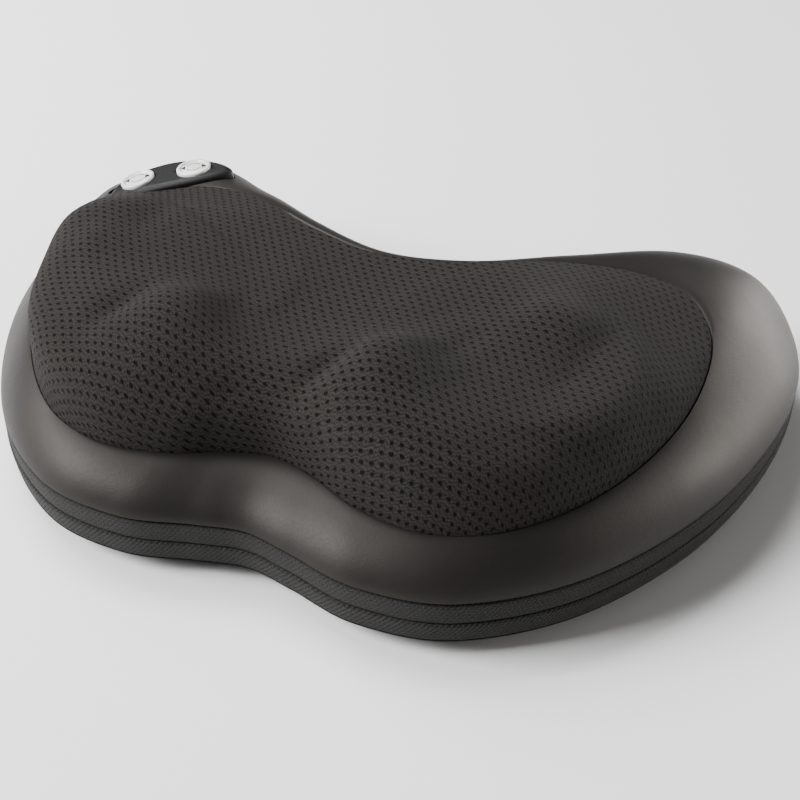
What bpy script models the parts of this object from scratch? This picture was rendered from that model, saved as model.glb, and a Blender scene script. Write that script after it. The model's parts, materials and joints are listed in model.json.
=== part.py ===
"""Shiatsu neck massager: a bean-shaped zipped pillow with a motor-driven kneading mechanism.

Lengths are written in millimetres and scaled to metres when each mesh is made.
+X runs along the pillow, +Y towards its deeply waisted rear side, +Z up. The origin is on
the resting plane, under the middle of the pillow's outline.
"""

import math

import bmesh
import bpy
from mathutils import Matrix, Vector

MM = 0.001
GAP = 0.3  # clearance between neighbouring pieces

# Half of the widest outline (the seam above the zip), rear waist to front waist: x, y.
SEAM_HALF = [
    (0, 42), (40, 55), (78, 86), (115, 114), (150, 117), (171, 90), (175, 40),
    (160, -24), (128, -80), (88, -113), (50, -120), (20, -113), (0, -109),
]
# Half of the edge of the mesh fabric, at the same stations: x, y, z.
MESH_HALF = [
    (0, 24, 75), (34, 31, 76), (68, 47, 75), (101, 59, 71), (127, 55, 67), (142, 30, 61),
    (141, -11, 54), (126, -55, 50), (100, -88, 47), (70, -101, 45), (41, -98, 45),
    (19, -88, 45), (0, -83, 45),
]
LEFT_LIFT = 5.0  # the fabric's edge sits this much higher at the left end
SPAN_STEPS = 2  # points along each span between two stations

SEAM_Z = 27.0  # leather meets the upper zip tape
ZIP_Z = 17.2  # the two zip tapes meet
FLOOR_EDGE_Z = 8.0  # lower zip tape meets the bottom cover
BASE_INSET = 10.5  # flat underside, in from the widest outline
LOWER_INSET = 1.2  # lower edge of the zip, in from the widest outline
FABRIC = 1.6  # zip tape and bottom cover
LEATHER = 2.2
MESH_FABRIC = 2.6
SKIRT_FULLNESS = 2.1  # superellipse exponent of the leather's rounded side
POD_FLATTENING = 0.6  # taken off that exponent beside the control pod
DOME_CENTRE = (0.0, -35.0)
DOME_FRONT = (5.0, 0.4)  # exponents of the crown's profile towards the front: a steep edge
DOME_REAR = (2.8, 1.1)  # and towards the rear: a gentle one
LOBE_TOP_Z = 89.0
SADDLE_TOP_Z = 75.0
LOBE_X = 62.0  # where the crown reaches its full height

INLET_X = 24.0
SHELL_INSET = 16.0  # hard shell, in from the widest outline
SHELL_FLOOR_Z = 2.2
SHELL_WALL = 2.5
DECK_Z = 30.0
DECK_THICK = 3.0

WHEEL_X, WHEEL_Y = 71.0, -21.0  # output shafts
WHEEL_TEETH = 36
MODULE = 1.4
WHEEL_PITCH_R = MODULE * WHEEL_TEETH / 2
WORM_PITCH_R = 6.0
ADDENDUM = 1.2
DEDENDUM = 1.6
TOOTH_SLACK = 0.5  # taken off each tooth's width for backlash
WORM_Y = WHEEL_Y - WHEEL_PITCH_R - WORM_PITCH_R
WORM_Z = 20.5
WHEEL_FACE = 6.0
AXIAL_PITCH = math.pi * MODULE
SHAFT_R = 4.0
MOTOR_SHAFT_R = 1.6
MOTOR_R = 13.9
MOTOR_HALF = 19.0

CARRIER_Z = 36.0
CARRIER_THICK = 5.0
HEAD_ORBIT = 42.8
HEAD_R = 16.5
HEAD_Z = 43.0
HEAD_TALL = 31.0
CARRIER_ANGLE = {"left": 8.0, "right": 47.0}  # degrees from +X

# Control pod: a gently arched crescent on the rear-left corner.
POD_CENTRE = Vector((-120.5, 56.0, 70.7))
POD_TURN = math.radians(26.0)
POD_RISE = 0.19  # slope along the pod, up towards the middle of the pillow
POD_FALL = 0.045  # slope down towards the outside
POD_HALF = 30.0
POD_INNER, POD_OUTER = 8.0, 17.5
POD_ARCH_R = 200.0
POD_WALL = 2.0
BUTTON_MIDDLE, BUTTON_SPREAD, BUTTON_Y = -2.0, 13.5, 4.0
BUTTON_R = 8.2


# ---------------------------------------------------------------- mesh helpers

def material(name, colour, roughness, metallic=0.0):
    found = bpy.data.materials.get(name) or bpy.data.materials.new(name)
    found.use_nodes = True
    shader = found.node_tree.nodes["Principled BSDF"]
    shader.inputs["Base Color"].default_value = (*colour, 1.0)
    shader.inputs["Roughness"].default_value = roughness
    shader.inputs["Metallic"].default_value = metallic
    return found


MATERIALS = {
    "leather": ((0.075, 0.070, 0.068), 0.45, 0.0),
    "mesh": ((0.040, 0.037, 0.036), 0.85, 0.0),
    "tape": ((0.030, 0.029, 0.029), 0.8, 0.0),
    "foam": ((0.55, 0.53, 0.48), 0.9, 0.0),
    "black_plastic": ((0.025, 0.025, 0.026), 0.4, 0.0),
    "grey_plastic": ((0.30, 0.30, 0.31), 0.5, 0.0),
    "white_plastic": ((0.86, 0.86, 0.85), 0.35, 0.0),
    "nylon": ((0.80, 0.78, 0.72), 0.45, 0.0),
    "steel": ((0.62, 0.62, 0.63), 0.3, 1.0),
    "bronze": ((0.60, 0.42, 0.20), 0.35, 1.0),
    "board": ((0.04, 0.22, 0.10), 0.5, 0.0),
    "glass": ((0.75, 0.25, 0.18), 0.15, 0.0),
}


def make(name, verts, faces, slot, helper=False):
    """An object from points in millimetres and faces that may point either way."""
    mesh = bpy.data.meshes.new(name)
    mesh.from_pydata([tuple(c * MM for c in v) for v in verts], [], faces)
    work = bmesh.new()
    work.from_mesh(mesh)
    bmesh.ops.recalc_face_normals(work, faces=work.faces)
    work.to_mesh(mesh)
    work.free()
    mesh.materials.append(material(slot, *MATERIALS[slot]))
    obj = bpy.data.objects.new(name, mesh)
    bpy.context.scene.collection.objects.link(obj)
    mesh.shade_smooth()
    mesh.set_sharp_from_angle(angle=math.radians(35))
    if helper:
        obj.hide_render = True
        obj.display_type = "WIRE"
    return obj


def place(obj, x, y, z=0.0, turn=0.0):
    obj.location = (x * MM, y * MM, z * MM)
    obj.rotation_euler = (0, 0, turn)
    return obj


def boolean(obj, other, operation):
    """Cuts other from obj, or joins it on. other becomes a hidden helper."""
    step = obj.modifiers.new(f"{operation.lower()}_{other.name}", "BOOLEAN")
    step.operation = operation
    step.solver = "EXACT"
    step.object = other
    other.hide_render = True
    other.display_type = "WIRE"
    return obj


def lofted(rings, ends="caps"):
    """Stitches rings of equal length. ends: "caps" fills the first and last, "loop" joins them."""
    count = len(rings[0])
    verts = [v for ring in rings for v in ring]
    faces = []
    last = len(rings) if ends == "loop" else len(rings) - 1
    for r in range(last):
        a, b = r * count, ((r + 1) % len(rings)) * count
        for i in range(count):
            j = (i + 1) % count
            faces.append((a + i, a + j, b + j, b + i))
    if ends == "caps":
        faces.append(tuple(range(count)))
        faces.append(tuple(range(len(verts) - count, len(verts))))
    return verts, faces


def turned(profile, segments, flutes=0, depth=0.0):
    """Spins (radius, height) points about Z. A radius of 0 is a pole; with none the shape is a tube."""
    verts, rings = [], []
    for radius, height in profile:
        if radius == 0:
            rings.append([len(verts)])
            verts.append((0, 0, height))
            continue
        start = len(verts)
        rings.append(list(range(start, start + segments)))
        for k in range(segments):
            angle = 2 * math.pi * k / segments
            wave = 1 + (depth * math.cos(flutes * angle) if radius > 0.4 * HEAD_R else 0)
            verts.append((radius * wave * math.cos(angle), radius * wave * math.sin(angle), height))
    faces = []
    closed = len(rings[0]) > 1
    for r in range(len(rings) if closed else len(rings) - 1):
        low, high = rings[r], rings[(r + 1) % len(rings)]
        for k in range(segments):
            m = (k + 1) % segments
            if len(low) == 1:
                faces.append((low[0], high[m], high[k]))
            elif len(high) == 1:
                faces.append((low[k], low[m], high[0]))
            else:
                faces.append((low[k], low[m], high[m], high[k]))
    return verts, faces


def rod(radius, low, high):
    return [(0, low), (radius, low), (radius, high), (0, high)]


def tube(inner, outer, low, high):
    return [(inner, low), (outer, low), (outer, high), (inner, high)]


def box(size, centre):
    sx, sy, sz = (s / 2 for s in size)
    ring = [(-sx, -sy), (sx, -sy), (sx, sy), (-sx, sy)]
    return lofted([[(centre[0] + x, centre[1] + y, centre[2] + z) for x, y in ring] for z in (-sz, sz)])


def along_x(verts, y, z):
    """Turns points spun about Z so that their axis lies along X at height z."""
    return [(v[2], y + v[0], z + v[1]) for v in verts]


# ---------------------------------------------------------------- pillow outlines

def closed_half(half):
    """The whole outline from its right half, by mirroring in X."""
    return half + [(-p[0], *p[1:]) for p in half[-2:0:-1]]


def smooth_loop(points, steps):
    """A Catmull-Rom curve through a closed list of points."""
    found, count = [], len(points)
    for i in range(count):
        p0, p1, p2, p3 = (Vector(points[(i + k) % count]) for k in (-1, 0, 1, 2))
        for s in range(steps):
            t = s / steps
            found.append(
                0.5 * (2 * p1 + (p2 - p0) * t + (2 * p0 - 5 * p1 + 4 * p2 - p3) * t * t
                       + (3 * p1 - p0 - 3 * p2 + p3) * t ** 3)
            )
    return found


SEAM = smooth_loop(closed_half(SEAM_HALF), SPAN_STEPS)
MESH_EDGE = smooth_loop(closed_half(MESH_HALF), SPAN_STEPS)
for corner in MESH_EDGE:
    corner.z += LEFT_LIFT * max(0.0, min(1.0, (-corner.x - 90) / 50))


def inset(points, distance):
    """The loop moved inwards; it runs clockwise seen from above, so inwards is on its right."""
    moved, count = [], len(points)
    for i, p in enumerate(points):
        along = points[(i + 1) % count] - points[i - 1]
        inward = Vector((along.y, -along.x)).normalized()
        moved.append(Vector((p.x, p.y)) + inward * distance)
    return moved


def level(points, z):
    return [(p.x, p.y, z) for p in points]


def smoothstep(t):
    t = max(0.0, min(1.0, t))
    return t * t * (3 - 2 * t)


def crown_z(x):
    """Height of the fabric's crown: a saddle in the middle, full over the lobes."""
    return SADDLE_TOP_Z + (LOBE_TOP_Z - SADDLE_TOP_Z) * smoothstep(abs(x) / LOBE_X)


# ---------------------------------------------------------------- covers

def bottom_cover():
    outer = [(0.0, BASE_INSET), (2.4, 4.2), (FLOOR_EDGE_Z - GAP, LOWER_INSET)]
    inner = [(FLOOR_EDGE_Z - GAP, LOWER_INSET + FABRIC), (3.4, 5.6), (FABRIC, BASE_INSET + 1)]
    rings = [level(inset(SEAM, d), z) for z, d in outer + inner]
    make("bottom_cover", *lofted(rings), "leather")


def zip_tapes():
    lower = [(FLOOR_EDGE_Z, LOWER_INSET), (ZIP_Z - GAP / 2, 0.3)]
    upper = [(ZIP_Z + GAP / 2, 0.3), (SEAM_Z - GAP, 0.0)]
    tapes = []
    for name, rows in (("zip_tape_lower", lower), ("zip_tape_upper", upper)):
        back = [(z, d + FABRIC) for z, d in rows[::-1]]
        rings = [level(inset(SEAM, d), z) for z, d in rows + back]
        tapes.append(make(name, *lofted(rings, "loop"), "tape"))
    return tapes


def leather_skirt():
    """The leather side, curving from upright at the seam to nearly level at the mesh fabric."""
    def row(u, thick):
        angle = u * math.pi / 2
        ring = []
        for s, e in zip(inset(SEAM, thick), MESH_EDGE):
            away = (Vector((s.x, s.y)) - POD_CENTRE.xy).length
            fullness = SKIRT_FULLNESS - POD_FLATTENING * smoothstep(1.6 - away / 70)
            across = 1 - math.cos(angle) ** (2 / fullness)
            rise = math.sin(angle) ** (2 / fullness)
            z = SEAM_Z + (e.z - thick - SEAM_Z) * rise
            ring.append((s.x + (e.x - s.x) * across, s.y + (e.y - s.y) * across, z))
        return ring
    outer = [row(u, 0.0) for u in (0.0, 0.3, 0.62, 1.0)]
    inner = [row(u, LEATHER) for u in (1.0, 0.5, 0.0)]
    return make("leather_skirt", *lofted(outer + inner, "loop"), "leather")


def mesh_cover():
    """The mesh fabric's crowned shell, clear of the space that the massage heads sweep."""
    edge = inset(MESH_EDGE, 0.4)
    cx, cy = DOME_CENTRE

    def ring(share, drop):
        found = []
        for p, e in zip(edge, MESH_EDGE):
            x, y = cx + (p.x - cx) * share, cy + (p.y - cy) * share
            rear = smoothstep((e.y + 20) / 65)
            flat, steep = (a + (b - a) * rear for a, b in zip(DOME_FRONT, DOME_REAR))
            lift = (1 - share ** flat) ** steep
            found.append((x, y, e.z + (crown_z(x) - e.z) * lift - drop))
        return found
    outer = [ring(s, 0.0) for s in (0.02, 0.35, 0.65, 0.84, 0.95, 1.0)]
    inner = [ring(s, MESH_FABRIC) for s in (1.0, 0.95, 0.8, 0.4, 0.02)]
    return make("mesh_cover", *lofted(outer + inner), "mesh")


def foam_surround():
    rows = [(9, 4.2), (26, 3.4), (34, 8.5), (34, SHELL_INSET - GAP), (9, SHELL_INSET - GAP)]
    rings = [level(inset(SEAM, d), z) for z, d in rows]
    return make("foam_surround", *lofted(rings, "loop"), "foam")


def zip_slider():
    """The zip's slider, parked at the rear waist, and its pull tab hanging from a pivot along X."""
    wall = SEAM_HALF[0][1] + 0.6
    body = make("zip_slider", *box((9, 2.6, 7), (0, wall + GAP + 1.3, ZIP_Z)), "steel")
    lugs = make("slider_lugs", *box((6, 3.0, 3), (0, wall + 3.9, ZIP_Z + 2)), "steel")
    slot = make("slider_slot", *box((3.6, 4, 6), (0, wall + 5.3, ZIP_Z + 2)), "steel")
    boolean(lugs, slot, "DIFFERENCE")
    boolean(body, lugs, "UNION")
    pull = make("zip_pull", *box((3.0, 1.2, 12), (0, 0, -5.2)), "steel")
    place(pull, 0, wall + 4.9, ZIP_Z + 2)


def inlet(pieces):
    """The low-voltage socket at the rear waist, passing through the lower zip tape, foam and shell."""
    turn = math.atan2(SEAM_HALF[1][1] - SEAM_HALF[0][1], SEAM_HALF[1][0])
    spot = Vector((INLET_X, SEAM_HALF[0][1] + INLET_X * math.tan(turn) * 0.86, (FLOOR_EDGE_Z + ZIP_Z) / 2))
    seat = Matrix.Translation(spot * MM) @ Matrix.Rotation(turn, 4, "Z") @ Matrix.Rotation(-math.pi / 2, 4, "X")
    hole = make("inlet_hole", *turned(rod(4.0, -30, 4), 12), "black_plastic")
    for piece in pieces:
        boolean(piece, hole, "DIFFERENCE")
    socket = [(0, -24), (3.6, -24), (3.6, 1.0), (4.1, 1.0), (4.1, 2.0), (2.8, 2.0),
              (2.8, -9), (0.9, -9), (0.9, 0.6), (0, 0.6)]
    jack = make("dc_jack", *turned(socket, 14), "black_plastic")
    for obj in (hole, jack):
        obj.matrix_world = seat


# ---------------------------------------------------------------- hard shell

DECK_SCREWS = [(118, 82), (-92, 52), (74, -88), (-74, -88)]


def base_shell():
    out, inner = inset(SEAM, SHELL_INSET), inset(SEAM, SHELL_INSET + SHELL_WALL)
    top = DECK_Z - GAP
    rings = [level(out, SHELL_FLOOR_Z), level(out, top), level(inner, top),
             level(inner, SHELL_FLOOR_Z + SHELL_WALL)]
    shell = make("base_shell", *lofted(rings), "black_plastic")
    floor = SHELL_FLOOR_Z + SHELL_WALL - 1
    for side, x in (("left", -WHEEL_X), ("right", WHEEL_X)):
        boss = make(f"shaft_boss_{side}", *turned(tube(6.3, 9.5, floor, 12), 14), "black_plastic")
        boolean(shell, place(boss, x, WHEEL_Y), "UNION")
    for i, (x, y) in enumerate(DECK_SCREWS):
        boss = make(f"screw_boss_{i}", *turned(tube(1.6, 4, floor, top), 8), "black_plastic")
        boolean(shell, place(boss, x, y), "UNION")
    return shell


def deck_plate():
    """The lid of the hard shell, with a collar round each output shaft and a window over the motor."""
    out = inset(SEAM, SHELL_INSET)
    deck = make("deck_plate", *lofted([level(out, DECK_Z), level(out, DECK_Z + DECK_THICK)]), "black_plastic")
    for side, x in (("left", -WHEEL_X), ("right", WHEEL_X)):
        collar = make(f"collar_{side}", *turned(rod(10, 26.5, DECK_Z + 1), 14), "black_plastic")
        boolean(deck, place(collar, x, WHEEL_Y), "UNION")
        hole = make(f"collar_hole_{side}", *turned(rod(6.3, 20, 40), 14), "black_plastic")
        boolean(deck, place(hole, x, WHEEL_Y), "DIFFERENCE")
    window = make("motor_window", *box((52, 32, 12), (0, WORM_Y, DECK_Z + 2)), "black_plastic")
    boolean(deck, window, "DIFFERENCE")
    for i, (x, y) in enumerate(DECK_SCREWS):
        hole = make(f"screw_hole_{i}", *turned(rod(1.8, 20, 40), 8), "black_plastic")
        boolean(deck, place(hole, x, y), "DIFFERENCE")
        screw = [(0, 20), (1.25, 20), (1.25, DECK_Z + DECK_THICK + GAP),
                 (3.2, DECK_Z + DECK_THICK + GAP), (2.6, DECK_Z + DECK_THICK + 2), (0, DECK_Z + DECK_THICK + 2)]
        place(make(f"deck_screw_{i + 1}", *turned(screw, 8), "steel"), x, y)


# ---------------------------------------------------------------- motor and worms

def motor():
    can = turned(tube(MOTOR_R - 1.4, MOTOR_R, -MOTOR_HALF, MOTOR_HALF), 20)
    make("motor_can", along_x(can[0], WORM_Y, WORM_Z), can[1], "steel")
    for side, sign in (("left", -1), ("right", 1)):
        near, far = MOTOR_HALF + GAP, MOTOR_HALF + 2.4
        cap = turned(tube(MOTOR_SHAFT_R + GAP, MOTOR_R - 0.6, near, far) if sign > 0
                     else tube(MOTOR_SHAFT_R + GAP, MOTOR_R - 0.6, -far, -near), 20)
        make(f"motor_cap_{side}", along_x(cap[0], WORM_Y, WORM_Z), cap[1], "black_plastic")
        end = turned(tube(MOTOR_SHAFT_R + GAP, 5.0, sign * 85 - 3, sign * 85 + 3), 12)
        bearing = make(f"shaft_bearing_{side}", along_x(end[0], WORM_Y, WORM_Z), end[1], "nylon")
        foot = make(f"bearing_foot_{side}", *box((6, 9, 11.2), (sign * 85, WORM_Y, 10.6)), "nylon")
        boolean(bearing, foot, "UNION")
        bore = turned(rod(MOTOR_SHAFT_R + GAP, sign * 85 - 5, sign * 85 + 5), 10)
        hole = make(f"bearing_bore_{side}", along_x(bore[0], WORM_Y, WORM_Z), bore[1], "nylon")
        boolean(bearing, hole, "DIFFERENCE")
    shaft = turned(rod(MOTOR_SHAFT_R, -89, 89), 10)
    make("motor_shaft", along_x(shaft[0], 0, 0), shaft[1], "steel").location = (0, WORM_Y * MM, WORM_Z * MM)
    core = turned(tube(MOTOR_SHAFT_R + GAP, MOTOR_R - 2.6, -13, 13), 16)
    make("armature", along_x(core[0], 0, 0), core[1], "bronze").location = (0, WORM_Y * MM, WORM_Z * MM)
    strap = make("motor_clamp", *half_band(MOTOR_R + 1.8, 12), "grey_plastic")
    strap.location = (0, WORM_Y * MM, WORM_Z * MM)
    screw = [(0, 5.0), (1.25, 5.0), (1.25, 6.9), (2.8, 6.9), (2.8, 8.6), (0, 8.6)]
    for i, way in enumerate((-1, 1)):
        y = WORM_Y + way * (MOTOR_R + 6.3)
        hole = make(f"clamp_hole_{i}", *turned(rod(1.6, 3, 9), 8), "grey_plastic")
        boolean(strap, place(hole, 0, y), "DIFFERENCE")
        place(make(f"clamp_screw_{i + 1}", *turned(screw, 8), "steel"), 0, y)


def half_band(radius, wide):
    """A strap over the motor with two flat feet: an outline in Y and Z, extruded along X."""
    foot, step = 5.0 - WORM_Z, 6.6 - WORM_Z
    angles = [math.pi * k / 10 for k in range(11)]
    outer = [(radius * math.cos(a), radius * math.sin(a)) for a in angles]
    inner = [((radius - 1.5) * math.cos(a), (radius - 1.5) * math.sin(a)) for a in angles[::-1]]
    reach = radius + 8
    ring = [(reach, foot), (reach, step), (radius, step), *outer, (-radius, step), (-reach, step),
            (-reach, foot), (1.5 - radius, foot), *inner, (radius - 1.5, foot)]
    return lofted([[(x, y, z) for y, z in ring] for x in (-wide / 2, wide / 2)])


def worm(side, sign):
    """A one-start worm; the left one is left-handed, so that the two wheels turn opposite ways."""
    root, crest = WORM_PITCH_R - DEDENDUM + 0.2, WORM_PITCH_R + ADDENDUM
    tan_flank = math.tan(math.radians(20))
    mid_half = AXIAL_PITCH / 4 - TOOTH_SLACK / 2
    half = {r: mid_half + (WORM_PITCH_R - r) * tan_flank for r in (root - 0.6, crest)}
    section = [(root - 0.6, -half[root - 0.6]), (crest, -half[crest]), (crest, half[crest]), (root - 0.6, half[root - 0.6])]
    turns, steps = 2.5, 14
    rings = []
    for k in range(int(turns * steps) + 1):
        angle = 2 * math.pi * k / steps
        shift = AXIAL_PITCH * (k / steps - turns / 2)
        # at mid-length the thread's centre faces the wheel (+Y)
        phase = angle - math.pi * turns
        rings.append([(sign * (shift + x), r * math.cos(phase), r * math.sin(phase)) for r, x in section])
    thread = make(f"worm_thread_{side}", *lofted(rings), "bronze")
    core = turned(rod(root, -9.5, 9.5), 14)
    body = make(f"worm_{side}", along_x(core[0], 0, 0), core[1], "bronze")
    boolean(body, thread, "UNION")
    bore = turned(rod(MOTOR_SHAFT_R + GAP, -12, 12), 10)
    hole = make(f"worm_bore_{side}", along_x(bore[0], 0, 0), bore[1], "bronze")
    boolean(body, hole, "DIFFERENCE")
    for obj in (thread, body, hole):
        obj.location = (sign * WHEEL_X * MM, WORM_Y * MM, WORM_Z * MM)


def worm_wheel(side, sign):
    """A wheel with helical teeth that match the worm's lead; a tooth gap faces the worm."""
    tan_flank = math.tan(math.radians(20))
    low, high = WHEEL_PITCH_R - DEDENDUM, WHEEL_PITCH_R + ADDENDUM
    mid = (AXIAL_PITCH / 2 - TOOTH_SLACK) / 2
    half_at = {low: mid + DEDENDUM * tan_flank, high: mid - ADDENDUM * tan_flank}
    lead = math.atan(AXIAL_PITCH / (2 * math.pi * WORM_PITCH_R))
    twist = WHEEL_FACE * math.tan(lead) / WHEEL_PITCH_R
    rings = []
    for share in (-0.5, 0.5):
        ring = []
        for tooth in range(WHEEL_TEETH):
            middle = 2 * math.pi * (tooth + 0.5) / WHEEL_TEETH - math.pi / 2 + sign * twist * share
            for r, way in ((low, -1), (high, -1), (high, 1), (low, 1)):
                a = middle + way * half_at[r] / r
                ring.append((r * math.cos(a), r * math.sin(a), WORM_Z + share * WHEEL_FACE))
        rings.append(ring)
    wheel = make(f"worm_wheel_{side}", *lofted(rings), "nylon")
    hub = make(f"wheel_hub_{side}", *turned(rod(8.5, 13, 25.5), 14), "nylon")
    boolean(wheel, hub, "UNION")
    bore = make(f"wheel_bore_{side}", *turned(rod(SHAFT_R + GAP, 5, 35), 14), "nylon")
    boolean(wheel, bore, "DIFFERENCE")
    for obj in (wheel, hub, bore):
        place(obj, sign * WHEEL_X, WHEEL_Y)


# ---------------------------------------------------------------- kneading heads

def stadium(half, radius, steps=9):
    right = [(half + radius * math.cos(a), radius * math.sin(a))
             for a in (math.pi * (k / steps - 0.5) for k in range(steps + 1))]
    return right + [(-x, -y) for x, y in right]


def output(side, sign):
    """One output: shaft, bushes, the two-armed carrier, its nut, and a head on an axle at each arm's end."""
    x = sign * WHEEL_X
    turn = math.radians(CARRIER_ANGLE[side])
    place(make(f"output_shaft_{side}", *turned(rod(SHAFT_R, 5.6, 47), 14), "steel"), x, WHEEL_Y)
    place(make(f"lower_bush_{side}", *turned(tube(SHAFT_R + GAP, 6.0, 5.2, 12.4), 14), "bronze"), x, WHEEL_Y)
    place(make(f"upper_bush_{side}", *turned(tube(SHAFT_R + GAP, 6.0, 26.2, 34.0), 14), "bronze"), x, WHEEL_Y)
    plate = stadium(HEAD_ORBIT, 9.5)
    arm = make(f"carrier_{side}", *lofted([[(px, py, z) for px, py in plate]
                                           for z in (CARRIER_Z, CARRIER_Z + CARRIER_THICK)]), "grey_plastic")
    hub = make(f"carrier_hub_{side}", *turned(rod(12, CARRIER_Z - 1.4, CARRIER_Z + CARRIER_THICK + 0.01), 14), "grey_plastic")
    boolean(arm, hub, "UNION")
    bore = make(f"carrier_bore_{side}", *turned(rod(SHAFT_R + GAP, 20, 60), 14), "grey_plastic")
    boolean(arm, bore, "DIFFERENCE")
    for obj in (arm, hub, bore):
        place(obj, x, WHEEL_Y, turn=turn)
    nut_z = CARRIER_Z + CARRIER_THICK + GAP
    place(make(f"carrier_nut_{side}", *turned(tube(SHAFT_R + 1.0, 7.5, nut_z, nut_z + 3.6), 6), "steel"), x, WHEEL_Y)
    dome = [(0, HEAD_TALL), (0.4, 0.985), (0.72, 0.84), (0.93, 0.58), (1.0, 0.26), (0.93, 0.0)]
    profile = [dome[0]] + [(HEAD_R * r, HEAD_TALL * h) for r, h in dome[1:]] + [(3.3, 0.0), (3.3, 11.5), (0, 11.5)]
    for arm_end, way in (("inner", -1), ("outer", 1)):
        hx = x + way * sign * HEAD_ORBIT * math.cos(turn)
        hy = WHEEL_Y + way * sign * HEAD_ORBIT * math.sin(turn)
        axle = [(0, HEAD_Z - 1.7), (5, HEAD_Z - 1.7), (5, HEAD_Z - 0.5), (3, HEAD_Z - 0.5), (3, HEAD_Z + 10.8), (0, HEAD_Z + 10.8)]
        place(make(f"head_axle_{side}_{arm_end}", *turned(axle, 10), "steel"), hx, hy)
        head = make(f"massage_head_{side}_{arm_end}", *turned(profile, 24, flutes=6, depth=0.03), "nylon")
        place(head, hx, hy, HEAD_Z)


# ---------------------------------------------------------------- electronics

def electronics():
    make("control_board", *box((46, 34, 1.6), (118, 48, 9)), "board")
    place(make("board_capacitor", *turned([(0, 10.1), (5, 10.1), (5, 20), (0, 20)], 12), "black_plastic"), 128, 52)
    bulb = [(0, 33.3), (5, 33.3), (5, 37), (6, 39), (5.4, 43), (3, 45.4), (0, 46)]
    place(make("heat_lamp_rear", *turned(bulb, 12), "glass"), 0, 4)
    place(make("heat_lamp_front", *turned([(r, z - 1) if z > 38 else (r, z) for r, z in bulb], 12), "glass"), 0, -76)


# ---------------------------------------------------------------- control pod
# Everything in the pod is drawn flat (X along it, Y outwards, Z off its face), then tilted into place.

def pod_frame():
    along = Vector((math.cos(POD_TURN), math.sin(POD_TURN), POD_RISE)).normalized()
    out = Vector((-math.sin(POD_TURN), math.cos(POD_TURN), -POD_FALL))
    normal = along.cross(out).normalized()
    turn = Matrix((along, normal.cross(along), normal)).transposed().to_4x4()
    return Matrix.Translation(POD_CENTRE * MM) @ turn


def crescent_span(x, grow):
    """The front and rear edge of the pod's outline at a place along it."""
    half = POD_HALF + grow
    bulge = max(0.03, 1 - (x / (half + 0.5)) ** 2) ** 0.8
    return -(POD_INNER + grow) * bulge, (POD_OUTER + grow) * bulge


def crescent(grow, top, low, steps=12, rows=2):
    """A solid with the pod's outline: an arched top over a flat underside."""
    half = POD_HALF + grow
    upper, under = [], []
    for i in range(steps + 1):
        x = -half + 2 * half * i / steps
        near, far = crescent_span(x, grow)
        for j in range(rows + 1):
            y = near + (far - near) * j / rows
            upper.append((x, y, top - x * x / (2 * POD_ARCH_R)))
            under.append((x, y, low))
    count, wide = len(upper), rows + 1
    faces = []
    for i in range(steps):
        for j in range(rows):
            a = i * wide + j
            faces.append((a, a + 1, a + wide + 1, a + wide))
            faces.append((count + a, count + a + wide, count + a + wide + 1, count + a + 1))
    rim = [i * wide for i in range(steps + 1)]
    rim += [steps * wide + j for j in range(1, wide)]
    rim += [i * wide + rows for i in range(steps - 1, -1, -1)]
    rim += list(range(rows - 1, 0, -1))
    for a, b in zip(rim, rim[1:] + rim[:1]):
        faces.append((a, b, count + b, count + a))
    return upper + under, faces


def pod_button(frame, bezel, name, way):
    """A round button in the bezel, kept in by two ears, over its switch."""
    x = BUTTON_MIDDLE + way * BUTTON_SPREAD
    lean = math.asin(x / POD_ARCH_R)
    spot = Vector((x, BUTTON_Y, -x * x / (2 * POD_ARCH_R)))
    seat = frame @ Matrix.Translation(spot * MM) @ Matrix.Rotation(lean, 4, "Y")
    hole = make(f"{name}_hole", *turned(rod(BUTTON_R + GAP, -4.8, 6), 24), "black_plastic")
    boolean(bezel, hole, "DIFFERENCE")
    profile = [(0, -3.3), (BUTTON_R, -3.3), (BUTTON_R, 0.6), (BUTTON_R - 0.6, 1.1), (BUTTON_R - 1.8, 1.1),
               (BUTTON_R - 2.0, 0.7), (BUTTON_R - 2.4, 0.7), (BUTTON_R - 2.6, 1.0), (0, 1.3)]
    button = make(name, *turned(profile, 24), "white_plastic")
    ears = make(f"{name}_ears", *box((2 * BUTTON_R + 1.4, 2, 0.7), (0, -0.4, -2.95)), "white_plastic")
    boolean(button, ears, "UNION")
    switch = make(f"{name}_switch", *box((5, 5, 1.2), (0, 0, -5.1)), "black_plastic")
    for obj in (hole, button, ears, switch):
        obj.matrix_world = seat


def control_pod(skirt, cover):
    frame = pod_frame()
    low = -11.0
    clearance = make("pod_clearance", *crescent(0.7, 20, low - 3), "black_plastic", helper=True)
    for piece in (skirt, cover):
        boolean(piece, clearance, "DIFFERENCE")
    bezel = make("panel_bezel", *crescent(0, 0, low), "black_plastic")
    hollow = make("panel_hollow", *crescent(-POD_WALL, -POD_WALL, low - 4), "black_plastic")
    boolean(bezel, hollow, "DIFFERENCE")
    for name, way in (("power_button", -1), ("direction_button", 1)):
        pod_button(frame, bezel, name, way)
    base = make("panel_base", *crescent(-POD_WALL - GAP, low + 2.4, low + 0.4), "grey_plastic")
    board = make("button_board", *box((36, 7.5, 1.2), (BUTTON_MIDDLE, BUTTON_Y, -7.3)), "board")
    for obj in (clearance, bezel, hollow, base, board):
        obj.matrix_world = frame


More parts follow.
